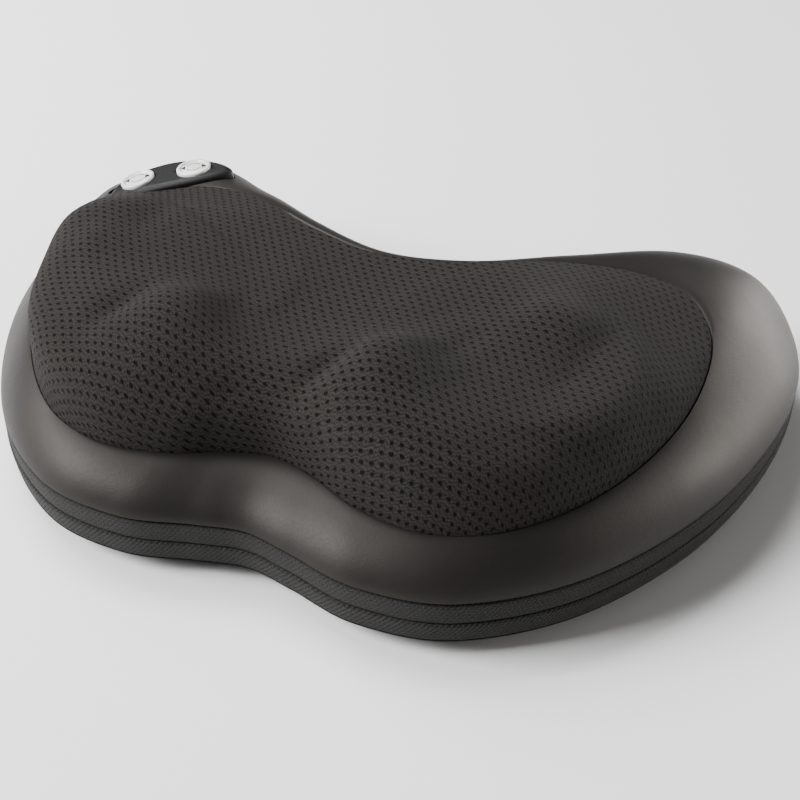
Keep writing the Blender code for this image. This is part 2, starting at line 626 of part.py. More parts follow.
def main():
    for obj in list(bpy.data.objects):
        bpy.data.objects.remove(obj)
    bottom_cover()
    tape = zip_tapes()[0]
    skirt, cover = leather_skirt(), mesh_cover()
    zip_slider()
    inlet([tape, foam_surround(), base_shell()])
    deck_plate()
    motor()
    for side, sign in (("left", -1), ("right", 1)):
        worm(side, sign)
        worm_wheel(side, sign)
        output(side, sign)
    electronics()
    control_pod(skirt, cover)


main()
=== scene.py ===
"""Looks for the shiatsu neck massager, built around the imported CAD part.

Working lengths are millimetres in the part's own frame: x along the pillow, y from front to rear, z up.
Meshes are scaled to metres when they are made. Lights and camera are in metres.
"""

import json
import math

import bmesh
import bpy
import numpy as np
from mathutils import Matrix, Vector


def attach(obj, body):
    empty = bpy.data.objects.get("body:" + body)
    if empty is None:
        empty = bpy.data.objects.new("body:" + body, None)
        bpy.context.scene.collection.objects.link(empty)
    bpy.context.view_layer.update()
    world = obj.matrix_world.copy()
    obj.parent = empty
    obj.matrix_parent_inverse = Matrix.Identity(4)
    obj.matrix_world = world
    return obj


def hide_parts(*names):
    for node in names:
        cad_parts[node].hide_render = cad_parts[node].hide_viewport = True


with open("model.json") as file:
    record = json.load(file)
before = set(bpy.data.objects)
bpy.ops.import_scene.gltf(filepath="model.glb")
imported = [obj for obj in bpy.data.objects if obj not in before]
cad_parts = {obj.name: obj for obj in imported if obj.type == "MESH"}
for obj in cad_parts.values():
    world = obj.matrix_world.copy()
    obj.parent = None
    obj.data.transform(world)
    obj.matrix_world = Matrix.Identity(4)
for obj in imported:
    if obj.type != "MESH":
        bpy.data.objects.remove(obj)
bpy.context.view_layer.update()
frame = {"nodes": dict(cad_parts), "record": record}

MM = 0.001
PILLOW = "pillow"

# The pillow's outlines, as in part.py, from the rear middle round the right half to the front middle: the zip seam's
# (x, y), and the mesh fabric's edge (x, y, z).
SEAM_HALF = [
    (0, 42), (40, 55), (78, 86), (115, 114), (150, 117), (171, 90), (175, 40),
    (160, -24), (128, -80), (88, -113), (50, -120), (20, -113), (0, -109),
]
MESH_HALF = [
    (0, 24, 75), (34, 31, 76), (68, 47, 75), (101, 59, 71), (127, 55, 67), (142, 30, 61),
    (141, -11, 54), (126, -55, 50), (100, -88, 47), (70, -101, 45), (41, -98, 45),
    (19, -88, 45), (0, -83, 45),
]
SPAN_STEPS = 14  # points along each span between two of them
LEFT_LIFT = 5.0  # the fabric's edge sits this much higher at the left end
# How full the leather stands at each of the seam's points, as a superellipse's exponent, right round from the rear
# middle.
FULL = [2.24, 1.6, 1.89, 2.38, 2.23, 1.65, 1.9, 2.0, 1.7, 1.6, 1.6, 1.6,
        1.6, 1.6, 1.6, 1.6, 1.6, 1.4, 1.22, 1.5, 1.2, 1.62, 1.75, 2.35]
# Heights of the leather's lower edge, of the zip, and of the lower tape's lower edge.
SEAM_Z, ZIP_Z, FLOOR_EDGE_Z = 27.0, 17.2, 8.0
LOWER_INSET = 1.2  # lower edge of the zip, in from the widest outline
BASE_INSET = 10.5  # flat underside, in from the widest outline

POD_CENTRE = Vector((-120.5, 56.0, 70.7))
POD_TURN = math.radians(26.0)
POD_RISE = 0.19  # slope along the pod, up towards the middle of the pillow
POD_FALL = 0.045  # slope down towards the outside
POD_HALF, POD_INNER, POD_OUTER = 29.2, 8.0, 17.2  # half its length, and its reach to the front and to the rear
POD_ARCH_R = 200.0
# By the pod the fabric's edge is drawn in and down, and the leather behind it swells.
POD_PULL, POD_SINK, POD_SWELL = 10.0, 3.5, 3.4
SWELL_AT = (-112, 76, 330)  # x, y and spread
BUTTON_MIDDLE, BUTTON_SPREAD, BUTTON_Y, BUTTON_R = -2.0, 13.5, 4.0, 8.2
BUTTON_HOLE_R = 8.55


# ---------------------------------------------------------------- node materials

class Graph:
    """Short names for building one Principled material from nodes."""

    def __init__(self, name, roughness=0.5, metallic=0.0, **fixed):
        self.material = bpy.data.materials.new(name)
        self.material.use_nodes = True
        self.tree = self.material.node_tree
        self.shader = self.tree.nodes["Principled BSDF"]
        self.shader.inputs["Roughness"].default_value = roughness
        self.shader.inputs["Metallic"].default_value = metallic
        for socket, value in fixed.items():
            self.shader.inputs[socket.replace("_", " ")].default_value = value

    def node(self, kind, **settings):
        made = self.tree.nodes.new(kind)
        for key, value in settings.items():
            setattr(made, key, value)
        return made

    def feed(self, socket, value):
        if isinstance(value, bpy.types.NodeSocket):
            self.tree.links.new(value, socket)
        else:
            socket.default_value = value

    def math(self, operation, *values, clamp=False):
        made = self.node("ShaderNodeMath", operation=operation, use_clamp=clamp)
        for socket, value in zip(made.inputs, values):
            self.feed(socket, value)
        return made.outputs[0]

    def place(self):
        """The point's place on its own object, in metres."""
        return self.node("ShaderNodeTexCoord").outputs["Object"]

    def cloth(self):
        """The point's place on the flat cloth: both coordinates in millimetres, and the first and second alone."""
        scaled = self.node("ShaderNodeVectorMath", operation="SCALE")
        self.feed(scaled.inputs[0], self.node("ShaderNodeUVMap", uv_map="cloth").outputs[0])
        scaled.inputs["Scale"].default_value = 1 / MM
        split = self.node("ShaderNodeSeparateXYZ")
        self.feed(split.inputs[0], scaled.outputs[0])
        return scaled.outputs[0], split.outputs[0], split.outputs[1]

    def scaled(self, value, factor):
        return self.math("MULTIPLY", value, factor)

    def wave(self, value, pitch):
        return self.math("SINE", self.scaled(value, 2 * math.pi / pitch))

    def noise(self, vector, scale, detail=3.0, rough=0.5):
        made = self.node("ShaderNodeTexNoise")
        self.feed(made.inputs["Vector"], vector)
        made.inputs["Scale"].default_value = scale
        made.inputs["Detail"].default_value = detail
        made.inputs["Roughness"].default_value = rough
        return made.outputs["Fac"]

    def voronoi(self, vector, scale, feature="F1"):
        made = self.node("ShaderNodeTexVoronoi", feature=feature)
        self.feed(made.inputs["Vector"], vector)
        made.inputs["Scale"].default_value = scale
        return made.outputs["Distance"]

    def ramp(self, value, low, high, to_low=0.0, to_high=1.0):
        made = self.node("ShaderNodeMapRange", interpolation_type="SMOOTHSTEP")
        for socket, number in zip(made.inputs, (value, low, high, to_low, to_high)):
            self.feed(socket, number)
        return made.outputs[0]

    def mix(self, factor, a, b):
        made = self.node("ShaderNodeMix", data_type="RGBA")
        self.feed(made.inputs["Factor"], factor)
        for socket, value in ((made.inputs[6], a), (made.inputs[7], b)):
            self.feed(socket, (*value, 1.0) if isinstance(value, tuple) else value)
        return made.outputs[2]

    def bump(self, height, distance, strength=1.0, under=None):
        made = self.node("ShaderNodeBump")
        made.inputs["Strength"].default_value = strength
        made.inputs["Distance"].default_value = distance
        self.feed(made.inputs["Height"], height)
        if under is not None:
            self.feed(made.inputs["Normal"], under)
        return made.outputs[0]

    def finish(self, colour, normal=None, roughness=None):
        for name, value in (("Base Color", colour), ("Normal", normal), ("Roughness", roughness)):
            if value is not None:
                self.feed(self.shader.inputs[name], value)
        return self.material


# The spacer fabric, in millimetres: its slits' spacing along and between rows, and their size and slant.
HOLE_PITCH, HOLE_ROW = 4.15, 3.3
HOLE_LONG, HOLE_WIDE, HOLE_SLANT = 0.88, 0.58, 0.25
HOLE_RAGGED = 0.9
# The ribs between them: spacing, bend round the slits, and drift. The stitches on them: spacing, and lean with a rib.
RIB_PITCH, RIB_WAVE, RIB_DRIFT = 1.48, 0.4, 1.6
STITCH_PITCH, STITCH_LEAN = 1.15, 1.5
SWAY = 1.5  # how far the rows of slits wander
YARN_DARK = (0.0028, 0.0025, 0.0023)
YARN_LIGHT = (0.0400, 0.0360, 0.0330)
YARN_WARM = (0.0410, 0.0322, 0.0275)
# Near black painted into the slits: painted shade inside the fabric's openings.
SLIT_SHADE_COLOUR = (0.0002, 0.0002, 0.0002)


def spacer_mesh():
    """Warp-knitted spacer fabric: staggered slits between fine ribs that bend round them."""
    g = Graph("spacer_mesh_fabric", roughness=0.85, Sheen_Weight=0.02, Sheen_Roughness=0.5, Specular_IOR_Level=0.1)
    uv, u, v = g.cloth()
    u = g.math("ADD", u, g.scaled(g.math("SUBTRACT", g.noise(uv, 0.16, 2.0), 0.5), SWAY))

    def from_slit(offset):
        """Distance from the nearest slit of one of the two staggered sets, 1 at its rim."""
        a = g.math("SUBTRACT", g.math("FRACT", g.math("ADD", g.math("DIVIDE", u, HOLE_PITCH), offset)), 0.5)
        b = g.math("SUBTRACT", g.math("FRACT", g.math("ADD", g.math("DIVIDE", v, HOLE_ROW * 2), offset)), 0.5)
        a, b = g.scaled(a, HOLE_PITCH), g.scaled(b, HOLE_ROW * 2)
        along = g.math("DIVIDE", a, HOLE_LONG)
        across = g.math("DIVIDE", g.math("ADD", b, g.scaled(a, HOLE_SLANT)), HOLE_WIDE)
        return g.math("SQRT", g.math("ADD", g.math("MULTIPLY", along, along), g.math("MULTIPLY", across, across)))
    distance = g.math("MINIMUM", from_slit(0.0), from_slit(0.5))
    ragged = g.scaled(g.math("SUBTRACT", g.noise(uv, 1.1, 2.0), 0.5), HOLE_RAGGED)
    solid = g.ramp(g.math("ADD", distance, ragged), 0.85, 1.22)
    shadow = g.ramp(distance, 1.0, 1.9, 0.66, 1.0)
    bend = g.math("ADD", v, g.scaled(g.wave(u, HOLE_PITCH), RIB_WAVE))
    bend = g.math("ADD", bend, g.scaled(g.noise(uv, 0.5, 2.0), RIB_DRIFT))
    rib = g.wave(bend, RIB_PITCH)
    stitch = g.math("SINE", g.math("ADD", g.scaled(u, 2 * math.pi / STITCH_PITCH), g.scaled(rib, STITCH_LEAN)))
    knit = g.math("ADD", g.scaled(rib, 0.17), g.scaled(stitch, 0.1))
    fuzz = g.ramp(g.noise(uv, 1.9, 3.0, 0.8), 0.3, 0.7)
    speck = g.math("ADD", g.math("ADD", knit, 0.12), g.scaled(fuzz, 0.74), clamp=True)
    yarn = g.mix(g.math("MULTIPLY", speck, shadow), YARN_DARK, YARN_LIGHT)
    patches = g.ramp(g.noise(g.place(), 20.0, 3.0), 0.42, 0.62, 0.0, 0.5)
    yarn = g.mix(patches, yarn, g.mix(speck, YARN_DARK, YARN_WARM))
    normal = g.bump(solid, 0.0009, 0.9, under=g.bump(speck, 0.0005, 0.7))
    # The slits are filled with the painted shade colour, and the yarn round them darkens with its painted shadow.
    return g.finish(g.mix(solid, SLIT_SHADE_COLOUR, yarn), normal)


def shades(colour, *factors):
    return [tuple(min(1, c * f) for c in colour) for f in factors]


def leather(name="pu_leather", tint=(0.0085, 0.0076, 0.0069)):
    """Matte PU leather: fine pebbled grain over a broad soft gloss."""
    g = Graph(name, roughness=0.48, Specular_IOR_Level=0.26, Specular_Tint=(1.0, 0.94, 0.88, 1.0))
    p = g.place()
    grain = g.voronoi(p, 1150.0, "SMOOTH_F1")
    fine = g.noise(p, 2600.0, 3.0)
    cloud = g.noise(p, 14.0, 3.0)
    low, high, crease = shades(tint, 0.9, 1.12, 0.6)
    colour = g.mix(g.ramp(cloud, 0.3, 0.7), low, high)
    colour = g.mix(g.ramp(grain, 0.1, 0.7, 0.0, 0.25), colour, crease)
    height = g.math("ADD", g.scaled(grain, 0.7), g.scaled(fine, 0.3))
    normal = g.bump(height, 0.00012, 0.35)
    normal = g.bump(g.noise(p, 60.0, 2.0), 0.0006, 0.25, under=normal)
    rough = g.math("ADD", g.ramp(cloud, 0.3, 0.7, 0.44, 0.54), g.scaled(grain, 0.06))
    return g.finish(colour, normal, rough)


TAPE_DARK, TAPE_LIGHT = (0.0028, 0.0027, 0.0026), (0.058, 0.0555, 0.0535)
TWILL_PITCH, TWILL_LEAN, WEFT_PITCH = 2.1, 0.9, 1.5


def woven_tape(name, hatch=0.2):
    """Coarse polyester zip tape: light flecks of yarn over a slanted twill. hatch is how clearly the twill shows."""
    g = Graph(name, roughness=0.8, Sheen_Weight=0.03, Sheen_Roughness=0.5, Specular_IOR_Level=0.15)
    uv, u, v = g.cloth()
    lean = g.math("ADD", u, g.scaled(v, TWILL_LEAN))
    lean = g.math("ADD", lean, g.scaled(g.noise(uv, 0.5, 2.0), 0.8))
    twill = g.wave(lean, TWILL_PITCH)
    weft = g.math("SINE", g.math("ADD", g.scaled(v, 2 * math.pi / WEFT_PITCH), g.scaled(twill, 1.2)))
    fleck = g.ramp(g.noise(uv, 1.5, 3.0, 0.85), 0.47, 0.66)
    weave = g.math("ADD", g.scaled(twill, hatch), g.scaled(weft, 0.08))
    weave = g.math("ADD", g.math("ADD", weave, 0.22), g.scaled(fleck, 0.62), clamp=True)
    return g.finish(g.mix(weave, TAPE_DARK, TAPE_LIGHT), g.bump(weave, 0.0005, 0.8))


def plastic(name, colour, roughness=0.4, grain=900.0, depth=0.00006, **fixed):
    """Moulded plastic with a fine spark-eroded texture and faint flow marks."""
    g = Graph(name, roughness=roughness, **fixed)
    p = g.place()
    texture = g.noise(p, grain, 3.0, 0.6)
    flow = g.noise(p, 35.0, 2.0)
    shade = g.mix(g.ramp(flow, 0.3, 0.7), *shades(colour, 0.93, 1.06))
    rough = g.ramp(texture, 0.2, 0.8, roughness - 0.05, roughness + 0.08)
    return g.finish(shade, g.bump(texture, depth, 0.5), rough)


def metal(name, colour, roughness=0.3, streak=(40.0, 40.0, 900.0)):
    """Turned or drawn metal with fine machining streaks."""
    g = Graph(name, roughness=roughness, metallic=1.0)
    stretch = g.node("ShaderNodeVectorMath", operation="MULTIPLY")
    g.feed(stretch.inputs[0], g.place())
    stretch.inputs[1].default_value = streak
    lines = g.noise(stretch.outputs[0], 1.0, 4.0, 0.7)
    shade = g.mix(g.ramp(lines, 0.3, 0.7), *shades(colour, 0.8, 1))
    rough = g.ramp(lines, 0.2, 0.8, roughness - 0.06, roughness + 0.12)
    return g.finish(shade, g.bump(lines, 0.00005, 0.5), rough)


def foam():
    g = Graph("open_cell_foam", roughness=0.95, Specular_IOR_Level=0.2)
    cells = g.voronoi(g.place(), 900.0)
    colour = g.mix(g.ramp(cells, 0.1, 0.7), (0.32, 0.31, 0.27), (0.58, 0.56, 0.50))
    return g.finish(colour, g.bump(cells, 0.0006, 0.8))


def circuit():
    g = Graph("circuit_board", roughness=0.35)
    brick = g.node("ShaderNodeTexBrick")
    g.feed(brick.inputs["Vector"], g.place())
    brick.inputs["Scale"].default_value = 260.0
    tracks = g.ramp(brick.outputs["Fac"], 0.2, 0.8)
    colour = g.mix(tracks, (0.015, 0.11, 0.045), (0.05, 0.20, 0.09))
    return g.finish(colour, g.bump(tracks, 0.00006, 0.6))


def lamp_glass():
    g = Graph("ruby_lamp_glass", roughness=0.1, IOR=1.5, Transmission_Weight=0.7)
    tint = g.noise(g.place(), 60.0, 2.0)
    return g.finish(g.mix(tint, (0.75, 0.12, 0.06), (0.9, 0.3, 0.18)))


# ---------------------------------------------------------------- mesh helpers

def closed_half(half):
    """The whole outline, from its right half."""
    return half + [(-p[0], *p[1:]) for p in half[-2:0:-1]]


def smooth_loop(points):
    """A Catmull-Rom curve through a closed list of points, as an array."""
    pts = np.array(points, float)
    t = (np.arange(SPAN_STEPS) / SPAN_STEPS)[None, :, None]
    p0, p1, p2, p3 = (np.roll(pts, -k, axis=0)[:, None, :] for k in (-1, 0, 1, 2))
    curve = 0.5 * (2 * p1 + (p2 - p0) * t + (2 * p0 - 5 * p1 + 4 * p2 - p3) * t ** 2
                   + (3 * p1 - p0 - 3 * p2 + p3) * t ** 3)
    return curve.reshape(-1, pts.shape[1])


def hill(x, y, at_x, at_y, spread):
    """A round bump, 1 high; spread is in square millimetres."""
    return np.exp(-((x - at_x) ** 2 + (y - at_y) ** 2) / spread)


def smoothstep(t):
    t = np.clip(t, 0.0, 1.0)
    return t * t * (3 - 2 * t)


def inward(loop):
    """The direction into the loop at each of its points."""
    along = np.roll(loop, -1, axis=0)[:, :2] - np.roll(loop, 1, axis=0)[:, :2]
    normal = np.stack([along[:, 1], -along[:, 0]], -1)
    return normal / np.linalg.norm(normal, axis=1, keepdims=True)


def girth(loop):
    """Distance run along a closed loop, from its first point; one more value than points."""
    steps = np.linalg.norm(np.roll(loop, -1, axis=0) - loop, axis=1)
    return np.concatenate([[0.0], np.cumsum(steps)])


def build(name, verts, faces, material, sharp=None):
    """An object in millimetres, smooth but for edges past the angle of sharp degrees."""
    mesh = bpy.data.meshes.new(name)
    mesh.from_pydata([tuple(float(c) * MM for c in v) for v in verts], [], faces)
    mesh.validate()
    work = bmesh.new()
    work.from_mesh(mesh)
    bmesh.ops.recalc_face_normals(work, faces=work.faces)
    work.to_mesh(mesh)
    work.free()
    mesh.materials.append(material)
    mesh.shade_smooth()
    if sharp:
        mesh.set_sharp_from_angle(angle=math.radians(sharp))
    obj = bpy.data.objects.new(name, mesh)
    bpy.context.scene.collection.objects.link(obj)
    return obj


def loft(name, rows, material, ring=True, cap=False, uv=None, sharp=None):
    """A skin over closed rows of points. ring joins the last row to the first; cap fills the first and last row.

    uv gives a row and column's place on the flat cloth.
    """
    rows = [np.asarray(r, float) for r in rows]
    count, total = len(rows[0]), len(rows)
    faces = []
    for r in range(total if ring else total - 1):
        a, b = r * count, ((r + 1) % total) * count
        faces += [(a + i, a + (i + 1) % count, b + (i + 1) % count, b + i) for i in range(count)]
    if cap:
        faces += [tuple(range(count)), tuple(range(count * (total - 1), count * total))]
    obj = build(name, np.concatenate(rows), faces, material, sharp=sharp)
    if uv is not None:
        layer = obj.data.uv_layers.new(name="cloth")
        for poly in obj.data.polygons:
            columns = [obj.data.loops[i].vertex_index % count for i in poly.loop_indices]
            wraps = 0 in columns and count - 1 in columns
            for i in poly.loop_indices:
                index = obj.data.loops[i].vertex_index
                row, column = divmod(index, count)
                value = uv(row, count if wraps and column == 0 else column)
                layer.data[i].uv = (value[0] * MM, value[1] * MM)
    return obj


def cut(obj, cutters):
    """Cuts these solids out of obj, and deletes them."""
    for cutter in cutters:
        step = obj.modifiers.new("cut", "BOOLEAN")
        step.operation, step.solver, step.object = "DIFFERENCE", "EXACT", cutter
    depsgraph = bpy.context.evaluated_depsgraph_get()
    depsgraph.update()
    mesh = bpy.data.meshes.new_from_object(obj.evaluated_get(depsgraph))
    obj.modifiers.clear()
    obj.data = mesh
    for cutter in cutters:
        bpy.data.objects.remove(cutter)


def add(obj, replaces=(), body=PILLOW):
    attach(obj, body)
    if replaces:
        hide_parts(*replaces)


# ---------------------------------------------------------------- the pillow's surfaces

SEAM = smooth_loop(closed_half(SEAM_HALF))
EDGE = smooth_loop(closed_half(MESH_HALF))
EDGE[:, 2] += LEFT_LIFT * np.clip((-EDGE[:, 0] - 90) / 50, 0, 1)
NEAR_POD = hill(EDGE[:, 0], EDGE[:, 1], -122, 57, 700)
EDGE[:, :2] += inward(EDGE) * (POD_PULL * NEAR_POD)[:, None]
EDGE[:, 2] -= POD_SINK * NEAR_POD
SEAM_IN = inward(SEAM)
EDGE_IN = inward(EDGE)
FULLNESS = smooth_loop([(f, 0) for f in FULL])[:, 0]
GIRTH = girth(SEAM)
COUNT = len(SEAM)


def seam_row(inset, z):
    """A level line round the pillow, this far in from the seam."""
    xy = SEAM + SEAM_IN * inset
    return np.column_stack([xy, np.full(COUNT, z)])


def along_seam(distance):
    """The seam's points, and the directions into the pillow, at these distances along it."""
    where = np.interp(distance, GIRTH, np.arange(COUNT + 1))
    low = where.astype(int) % COUNT
    part = (where - where.astype(int))[:, None]
    return SEAM[low] * (1 - part) + SEAM[(low + 1) % COUNT] * part, SEAM_IN[low]


def edge_row(out, drop):
    """What turning the leather's or fabric's edge under adds to its row: this far out and down."""
    return np.column_stack([-EDGE_IN * out, np.full(COUNT, -drop)])


def leather_row(u, sink=0.0):
    """One line round the leather side, from the seam (u=0) to the mesh fabric (u=1), sunk below the skin."""
    angle = u * math.pi / 2
    across = 1 - np.cos(angle) ** (2 / FULLNESS)
    rise = np.sin(angle) ** (2 / FULLNESS)
    base = SEAM + SEAM_IN * sink
    xy = base + (EDGE[:, :2] - base) * across[:, None]
    z = SEAM_Z + (EDGE[:, 2] - SEAM_Z) * rise - sink * rise
    z = z + POD_SWELL * hill(xy[:, 0], xy[:, 1], *SWELL_AT)
    return np.column_stack([xy, z])


# The ring that each kneader's heads sweep: its middle and radius, and the fabric's least height at distances from it.
SWEEP_X, SWEEP_Y, SWEEP_ORBIT = 71.0, -21.0, 42.8
SWEEP_OFF, SWEEP_TALL = [0, 8.0, 14.6, 18.5, 19.9], [77.4, 76.9, 71.6, 62.8, 52.4]
NO_FLOOR = -1e3
# Heights of the foam between the lobes and on them, what the front adds, and how far the foam spreads a push.
SADDLE_Z, LOBE_Z, FRONT_FILL, FOAM_REACH = 73.5, 84.0, 7.0, 16.0
# The lobes: their middles' x, and their spread towards the pillow's middle and towards its ends.
LOBE_X, LOBE_SPREAD_IN, LOBE_SPREAD_OUT = 82, 36.0, 62.0
# Bulges pushed up into the fabric: x, y, top, radius; each is a cap out to CAP_REACH of its radius.
BUMPS = [(-121, 2, 90, 27), (-52, -60, 92.0, 25), (39, -58, 92.5, 25), (89, 4, 92.5, 26), (-112, -24, 88, 26)]
CAP_REACH = 0.62
# Slack hollows beside them: x, y, depth, spread.
DIPS = [(-23, -42, 4.0, 15), (66, -50, 5.5, 14), (111, -40, 8.0, 17), (-96, 4, 2.0, 9), (62, -2, 2.5, 14)]
# Pinched folds in the fabric: x, y, depth, half width, half length, direction in degrees.
FOLDS = [(-77, -63, 4.0, 4.5, 10, 62), (14, -64, 4.4, 4.5, 11, 62), (-99, 8, 2.0, 4.5, 12, 100),
         (54, -42, 1.8, 4.5, 15, 70), (106, -8, 3.0, 5.0, 16, 75), (-31, -40, 1.8, 5.0, 14, 60)]
# The grid that the fabric is relaxed on.
GRID_LEFT, GRID_RIGHT, GRID_FRONT, GRID_REAR, GRID_STEP = -160.0, 160.0, -130.0, 90.0, 2.0
RELAX_PASSES, SMOOTH_PASSES = 700, 10


def head_room(x, y):
    """The lowest the fabric's outer face may come over the ring swept by the turning heads."""
    off = np.minimum(np.hypot(x - SWEEP_X, y - SWEEP_Y), np.hypot(x + SWEEP_X, y - SWEEP_Y)) - SWEEP_ORBIT
    return np.interp(np.abs(off), SWEEP_OFF, SWEEP_TALL, right=NO_FLOOR)


def four_neighbours(sheet):
    return np.roll(sheet, 1, 0) + np.roll(sheet, -1, 0) + np.roll(sheet, 1, 1) + np.roll(sheet, -1, 1)


def relaxed_crown():
    """Heights of the stretched fabric: a sheet on foam, held up by the bulges and sinking between them."""
    xs = np.arange(GRID_LEFT, GRID_RIGHT + 1, GRID_STEP)
    ys = np.arange(GRID_FRONT, GRID_REAR + 1, GRID_STEP)
    x, y = np.meshgrid(xs, ys, indexing="ij")
    spread = np.where(np.abs(x) < LOBE_X, LOBE_SPREAD_IN, LOBE_SPREAD_OUT)
    lobe = np.exp(-((np.abs(x) - LOBE_X) / spread) ** 2)
    saddle = SADDLE_Z + FRONT_FILL * smoothstep((-y - 52) / 30)
    rest = saddle + (LOBE_Z - saddle) * lobe
    for dx, dy, deep, wide in DIPS:
        rest = rest - deep * hill(x, y, dx, dy, 2 * wide ** 2)
    room = head_room(x, y)
    held = room
    for bx, by, top, radius in BUMPS:
        away = np.hypot(x - bx, y - by)
        cap = top - radius + np.sqrt(np.maximum(radius ** 2 - away ** 2, 0))
        held = np.maximum(held, np.where(away < CAP_REACH * radius, cap, NO_FLOOR))
    sheet = rest.copy()
    give = (GRID_STEP / FOAM_REACH) ** 2 / 4
    for _ in range(RELAX_PASSES):
        sheet = np.maximum((four_neighbours(sheet) / 4 + give * rest) / (1 + give), held)
    for _ in range(SMOOTH_PASSES):
        sheet = (four_neighbours(sheet) + 2 * sheet) / 6
    for fx, fy, deep, narrow, long, turn in FOLDS:
        c, t = math.cos(math.radians(turn)), math.sin(math.radians(turn))
        along, across = (x - fx) * c + (y - fy) * t, -(x - fx) * t + (y - fy) * c
        sheet = sheet - deep * np.exp(-(along / long) ** 2 / 2 - (across / narrow) ** 2 / 2)
    return np.maximum(sheet, room)


CROWN = relaxed_crown()


def crown(x, y):
    """The relaxed sheet's height at any place, between its grid's points."""
    u, v = (x - GRID_LEFT) / GRID_STEP, (y - GRID_FRONT) / GRID_STEP
    i, j = u.astype(int), v.astype(int)
    u, v = u - i, v - j
    low = CROWN[i, j] * (1 - u) + CROWN[i + 1, j] * u
    high = CROWN[i, j + 1] * (1 - u) + CROWN[i + 1, j + 1] * u
    return low * (1 - v) + high * v


DOME_CENTRE = np.array([0.0, -35.0])
FABRIC, LEATHER = 2.3, 2.4  # the mesh fabric's and the leather's thickness
# Where the fabric's rows lie, as shares of the way from the dome's centre to its edge, above and underneath.
TOP_SHARES = [0.004, 0.02, *np.linspace(0.05, 0.9, 44), 0.915, 0.93, 0.945, 0.957, 0.968, 0.977, 0.985, 0.992, 1.0]
UNDER_SHARES = [0.985, 0.96, 0.93, 0.9, 0.86, 0.82, 0.77, 0.72, 0.66, 0.6, 0.54, 0.48, 0.42, 0.35, 0.28, 0.2, 0.1,
                0.004]


def dome_row(share, sink=0.0):
    """One line round the mesh fabric, this share of the way out to its edge."""
    edge_x, edge_y = EDGE[:, 0], EDGE[:, 1]
    xy = DOME_CENTRE + (EDGE[:, :2] + EDGE_IN * 0.5 - DOME_CENTRE) * share
    # How much each stretch of the edge belongs to the left end, the corner by the pod, the rear, the front waist,
    # the left shoulder and the front left corner.
    left = smoothstep((-edge_x - 85) / 45) * (1 - smoothstep((edge_y + 5) / 35))
    by_pod = smoothstep((-edge_x - 126) / 14) * smoothstep((edge_y + 10) / 25)
    rear = smoothstep((edge_y + 20) / 65) * (1 - 0.75 * left) * (1 - 0.95 * by_pod)
    waist = np.exp(-((edge_x + 38) / 34) ** 2) * smoothstep((-edge_y - 40) / 30)
    shoulder = np.exp(-((edge_x + 142) / 25) ** 2 - ((edge_y + 6) / 19) ** 2)
    corner = hill(edge_x, edge_y, -122, -74, 2400)
    # The roll down to the edge: later and steeper at the front than at the rear.
    flat = 5.0 - 2.2 * rear - 1.3 * waist
    steep = 0.45 + 0.65 * rear - 0.13 * left + 0.16 * waist - 0.12 * shoulder
    lift = (1 - share ** flat) ** steep
    z = EDGE[:, 2] + 0.6 + (crown(xy[:, 0], xy[:, 1]) - EDGE[:, 2]) * lift
    # The fabric bellies out just inside its edge.
    belly = np.clip((1 - share) / 0.14, 0, 1)
    puff = (1.2 + 0.6 * left + 2.6 * corner) * (1 - 0.8 * rear) * 4 * belly * (1 - belly)
    xy = xy - EDGE_IN * puff[:, None]
    # A soft maximum with the heads' room.
    over = z - head_room(xy[:, 0], xy[:, 1])
    z = z + np.where(over < 40, (np.sqrt(over ** 2 + 2.0) - over) / 2, 0)
    return np.column_stack([xy, z - sink])


def make_mesh_top():
    outer = [dome_row(s) for s in TOP_SHARES]
    outer += [dome_row(1.0) + edge_row(out, drop) for out, drop in ((0.25, 0.7), (0.2, 1.5), (-0.3, 2.1))]
    rows = outer + [dome_row(s, FABRIC) for s in UNDER_SHARES]
    outward = EDGE[:, :2] - DOME_CENTRE
    outward /= np.linalg.norm(outward, axis=1, keepdims=True)
    # The outer face is laid flat by its run from the middle.
    run = np.zeros(COUNT)
    flats = []
    for i, row in enumerate(rows):
        if i:
            run = run + np.linalg.norm(row - rows[i - 1], axis=1)
        flats.append(DOME_CENTRE + outward * run[:, None] if i < len(outer) else row[:, :2])
    obj = loft("mesh_top", rows, spacer_mesh(), ring=False, cap=True, uv=lambda row, column: flats[row][column % COUNT])
    pod_hole(obj)
    add(obj, ["mesh_cover"])


def make_leather_side():
    start = [seam_row(1.6, SEAM_Z - 0.2), seam_row(0.7, SEAM_Z + 0.1), seam_row(0.15, SEAM_Z + 0.8)]
    outer = [leather_row(u) for u in np.linspace(0.05, 0.985, 34)]
    tuck = [leather_row(1.0) + edge_row(out, drop) for out, drop in ((0.2, 0.5), (-0.6, 1.4), (-1.6, 2.6))]
    inner = [leather_row(u, LEATHER) for u in (0.94, 0.75, 0.5, 0.3, 0.12, 0.04)]
    obj = loft("leather_side", start + outer + tuck + inner, leather())
    pod_hole(obj)
    add(obj, ["leather_skirt"])


ZIP_SLIT = 0.16  # each tape stops this far short of the zip's middle
TAPE_ROWS = 8
TAPE_BACK = 1.9  # a tape's back face, in from its front
COIL_TURNS, COIL_R, COIL_INSET = 700, 0.85, 2.1


